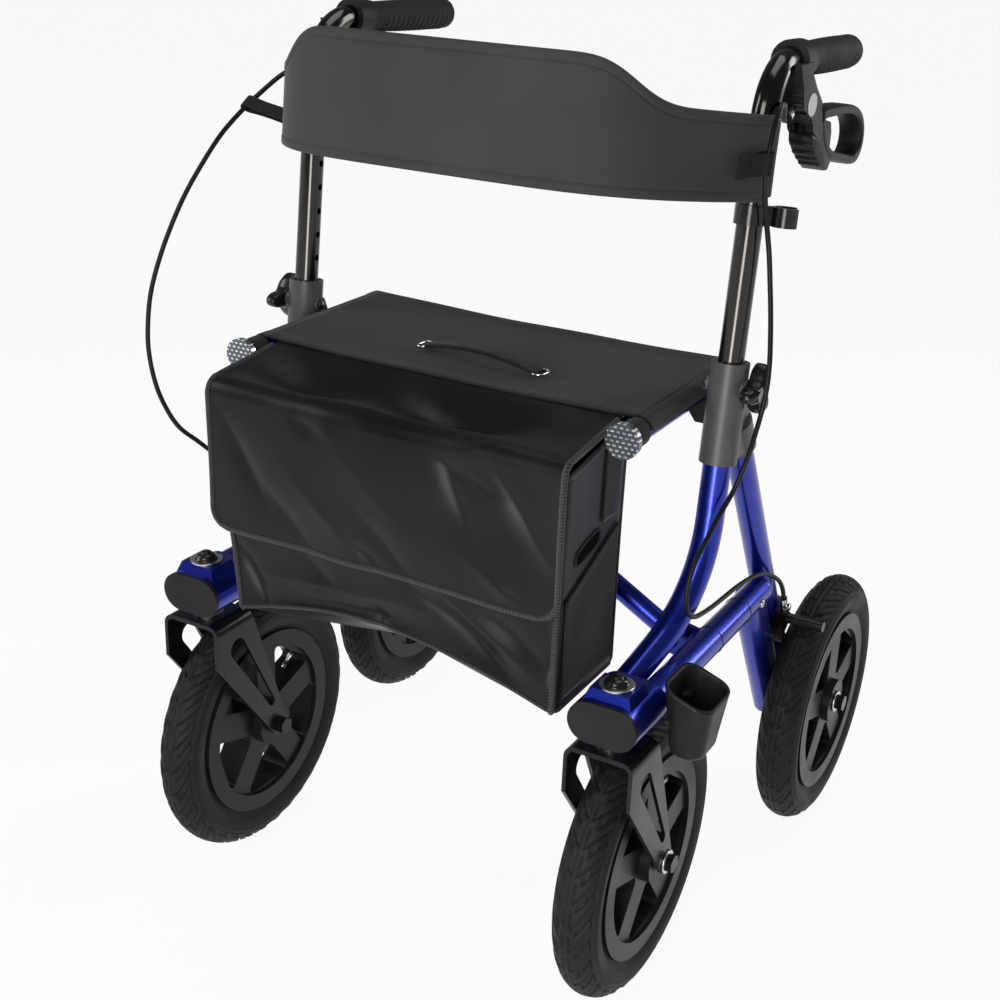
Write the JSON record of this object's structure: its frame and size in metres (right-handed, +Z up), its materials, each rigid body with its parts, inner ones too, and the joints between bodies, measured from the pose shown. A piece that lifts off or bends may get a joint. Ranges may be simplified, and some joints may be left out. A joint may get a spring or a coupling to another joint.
{
  "type": "rollator",
  "caption": "Folding outdoor rollator walker with big pneumatic wheels, swivel front casters, blue tube frame, sling seat, bag, backrest band, loop brake levers and cane holder",
  "frame": {"origin": "on the floor under the middle of the bounding box", "axes": "+X to the left of the person who walks behind it, -Y to the front, +Z up"},
  "size_m": [0.6546, 0.7048, 0.9252],
  "materials": {
    "frame_paint": "metallic royal blue paint",
    "black_moulding": "fine matt",
    "black_gloss": "satin gloss",
    "black_steel": "black powder coat",
    "post_metal": "dark anodised",
    "steel": "zinc plated",
    "grip_rubber": "ribbed matt",
    "tyre_rubber": "matt, block tread",
    "seat_cloth": "woven nylon",
    "bag_cloth": "woven nylon",
    "back_cloth": "padded weave",
    "cable_sheath": "smooth satin",
    "reflector": "prismatic"
  },
  "bodies": {
    "left_frame": {"front_leg_left": "frame_paint", "rear_leg_left": "frame_paint", "lower_bar_left": "frame_paint", "caster_head_left": "frame_paint", "caster_cap_left": "black_moulding", "post_sleeve_left": "black_moulding", "rail_cradle_left": "black_moulding", "brake_bracket_left": "black_steel", "rear_axle_left": "steel", "brake_cable_left": "cable_sheath", "cane_cup": "black_moulding"},
    "left_brace": {"cross_brace_left": "frame_paint", "seat_rail_right": "frame_paint", "reflector_right": "reflector", "centre_pin": "steel"},
    "left_post": {"handle_post_left": "post_metal", "hand_grip_left": "grip_rubber", "brake_housing_left": "black_gloss", "backrest": "back_cloth", "cane_clip": "black_moulding"},
    "left_lever": {"brake_lever_left": "black_gloss"},
    "left_knob": {"clamp_knob_left": "black_moulding"},
    "left_brake": {"brake_arm_left": "black_steel"},
    "left_caster": {"caster_fork_left": "black_steel", "caster_bolt_left": "steel", "front_axle_left": "steel"},
    "left_front_wheel": {"front_rim_left": "black_moulding", "front_tyre_left": "tyre_rubber"},
    "left_rear_wheel": {"rear_rim_left": "black_moulding", "rear_tyre_left": "tyre_rubber"},
    "right_frame": {"front_leg_right": "frame_paint", "rear_leg_right": "frame_paint", "lower_bar_right": "frame_paint", "caster_head_right": "frame_paint", "caster_cap_right": "black_moulding", "post_sleeve_right": "black_moulding", "rail_cradle_right": "black_moulding", "brake_bracket_right": "black_steel", "rear_axle_right": "steel", "brake_cable_right": "cable_sheath"},
    "right_brace": {"cross_brace_right": "frame_paint", "seat_rail_left": "frame_paint", "reflector_left": "reflector"},
    "right_post": {"handle_post_right": "post_metal", "hand_grip_right": "grip_rubber", "brake_housing_right": "black_gloss"},
    "right_lever": {"brake_lever_right": "black_gloss"},
    "right_knob": {"clamp_knob_right": "black_moulding"},
    "right_brake": {"brake_arm_right": "black_steel"},
    "right_caster": {"caster_fork_right": "black_steel", "caster_bolt_right": "steel", "front_axle_right": "steel"},
    "right_front_wheel": {"front_rim_right": "black_moulding", "front_tyre_right": "tyre_rubber"},
    "right_rear_wheel": {"rear_rim_right": "black_moulding", "rear_tyre_right": "tyre_rubber"},
    "bag": {"bag_body": "bag_cloth", "seat_fabric": "seat_cloth"},
    "bag_flap": {"bag_flap": "bag_cloth"}
  },
  "joints": [
    {"name": "frame_fold", "type": "hinge", "parent": "left_frame", "child": "left_brace", "pos_m": [0.228, -0.11303, 0.351], "axis": [0, 1, 0], "range_deg": [0, 30], "deforming": ["seat_fabric", "backrest", "bag_body", "bag_flap"]},
    {"name": "brace_cross", "type": "hinge", "parent": "left_brace", "child": "right_brace", "pos_m": [0, -0.10103, 0.47818], "axis": [0, 1, 0], "range_deg": [-60, 0]},
    {"name": "right_frame_pivot", "type": "hinge", "parent": "right_brace", "child": "right_frame", "pos_m": [-0.228, -0.08903, 0.351], "axis": [0, 1, 0], "range_deg": [0, 30]},
    {"name": "bag_level", "type": "hinge", "parent": "right_brace", "child": "bag", "pos_m": [0.213, -0.10103, 0.597], "axis": [0, 1, 0], "range_deg": [0, 30]},
    {"name": "bag_flap_hinge", "type": "hinge", "parent": "bag", "child": "bag_flap", "pos_m": [0, -0.20333, 0.602], "axis": [1, 0, 0], "range_deg": [-70, 0]},
    {"name": "left_post_slide", "type": "slide", "parent": "left_frame", "child": "left_post", "axis": [0, 0.0993, 0.9951], "range_m": [-0.09, 0.035], "deforming": ["brake_cable_left"]},
    {"name": "left_knob_turn", "type": "hinge", "parent": "left_frame", "child": "left_knob", "pos_m": [0.28, -0.08673, 0.613], "axis": [1, 0, 0], "range_deg": [0, 360]},
    {"name": "left_lever_squeeze", "type": "hinge", "parent": "left_post", "child": "left_lever", "pos_m": [0.254, 0.03435, 0.84883], "axis": [1, 0, 0], "range_deg": [0, 12], "stiffness_Nm_per_rad": 6},
    {"name": "left_brake_press", "type": "hinge", "parent": "left_frame", "child": "left_brake", "pos_m": [0.268, 0.09603, 0.27132], "axis": [-1, 0, 0], "range_deg": [0, 6]},
    {"name": "left_caster_swivel", "type": "hinge", "parent": "left_frame", "child": "left_caster", "pos_m": [0.24, -0.2765, 0.32], "axis": [0, 0, 1], "continuous": true},
    {"name": "left_front_spin", "type": "hinge", "parent": "left_caster", "child": "left_front_wheel", "pos_m": [0.24, -0.2025, 0.15], "axis": [1, 0, 0], "continuous": true},
    {"name": "left_rear_spin", "type": "hinge", "parent": "left_frame", "child": "left_rear_wheel", "pos_m": [0.291, 0.2025, 0.15], "axis": [1, 0, 0], "continuous": true},
    {"name": "right_post_slide", "type": "slide", "parent": "right_frame", "child": "right_post", "axis": [0, 0.0993, 0.9951], "range_m": [-0.09, 0.035], "deforming": ["brake_cable_right"]},
    {"name": "right_knob_turn", "type": "hinge", "parent": "right_frame", "child": "right_knob", "pos_m": [-0.28, -0.08673, 0.613], "axis": [-1, 0, 0], "range_deg": [0, 360]},
    {"name": "right_lever_squeeze", "type": "hinge", "parent": "right_post", "child": "right_lever", "pos_m": [-0.254, 0.03435, 0.84883], "axis": [1, 0, 0], "range_deg": [0, 12], "stiffness_Nm_per_rad": 6},
    {"name": "right_brake_press", "type": "hinge", "parent": "right_frame", "child": "right_brake", "pos_m": [-0.268, 0.09603, 0.27132], "axis": [-1, 0, 0], "range_deg": [0, 6]},
    {"name": "right_caster_swivel", "type": "hinge", "parent": "right_frame", "child": "right_caster", "pos_m": [-0.24, -0.2765, 0.32], "axis": [0, 0, 1], "continuous": true},
    {"name": "right_front_spin", "type": "hinge", "parent": "right_caster", "child": "right_front_wheel", "pos_m": [-0.24, -0.2025, 0.15], "axis": [1, 0, 0], "continuous": true},
    {"name": "right_rear_spin", "type": "hinge", "parent": "right_frame", "child": "right_rear_wheel", "pos_m": [-0.291, 0.2025, 0.15], "axis": [1, 0, 0], "continuous": true}
  ],
  "couplings": [
    {"joint": "brace_cross", "follows": "frame_fold", "ratio": -2},
    {"joint": "right_frame_pivot", "follows": "frame_fold", "ratio": 1},
    {"joint": "bag_level", "follows": "frame_fold", "ratio": 1},
    {"joint": "left_brake_press", "follows": "left_lever_squeeze", "ratio": 0.5},
    {"joint": "right_brake_press", "follows": "right_lever_squeeze", "ratio": 0.5},
    {"joint": "right_post_slide", "follows": "left_post_slide", "ratio": 1}
  ]
}
